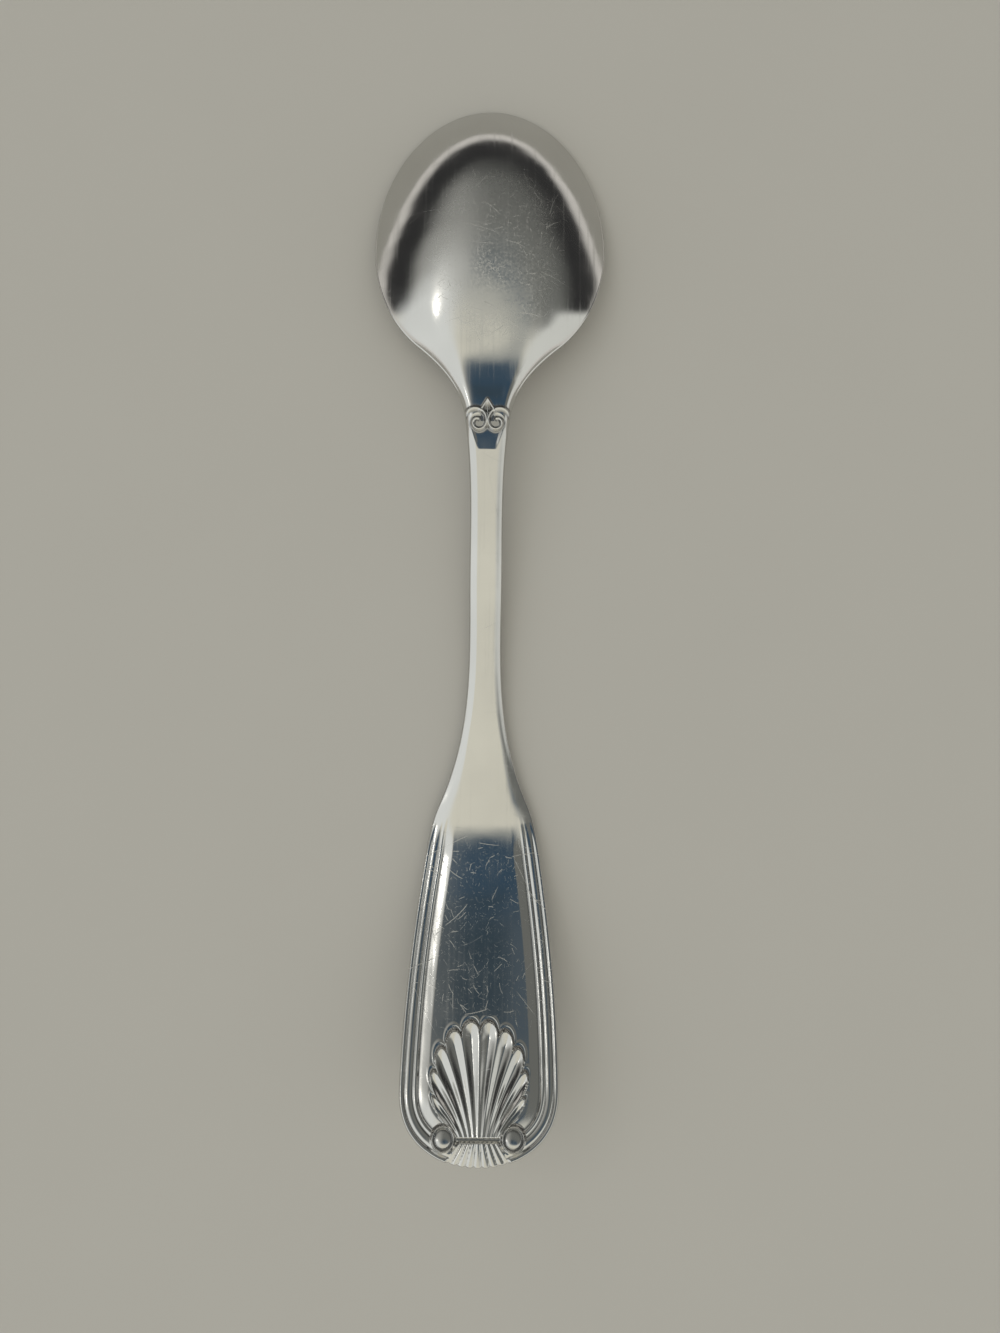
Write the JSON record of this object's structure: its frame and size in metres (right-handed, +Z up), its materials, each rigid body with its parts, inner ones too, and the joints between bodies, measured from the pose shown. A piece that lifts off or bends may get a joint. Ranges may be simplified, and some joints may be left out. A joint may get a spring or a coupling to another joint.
{
  "type": "teaspoon",
  "caption": "Polished steel teaspoon with an oval bowl, a bevelled stem and a fiddle handle with a thread border and a shell at the end.",
  "frame": {"origin": "on the table, under the middle of the spoon's length, in its plane of symmetry, with the spoon lying face down", "axes": "+Y from the handle to the bowl tip, +Z up out of the back of the spoon, +X to the right seen from above"},
  "size_m": [0.0354, 0.155, 0.0142],
  "materials": {
    "steel": "polished, with fine wear scratches"
  },
  "bodies": {
    "root": {"bowl": "steel", "heel": "steel", "stem": "steel", "shoulders": "steel", "left_thread": "steel", "handle_panel": "steel", "right_thread": "steel", "shell_end": "steel"}
  },
  "joints": []
}
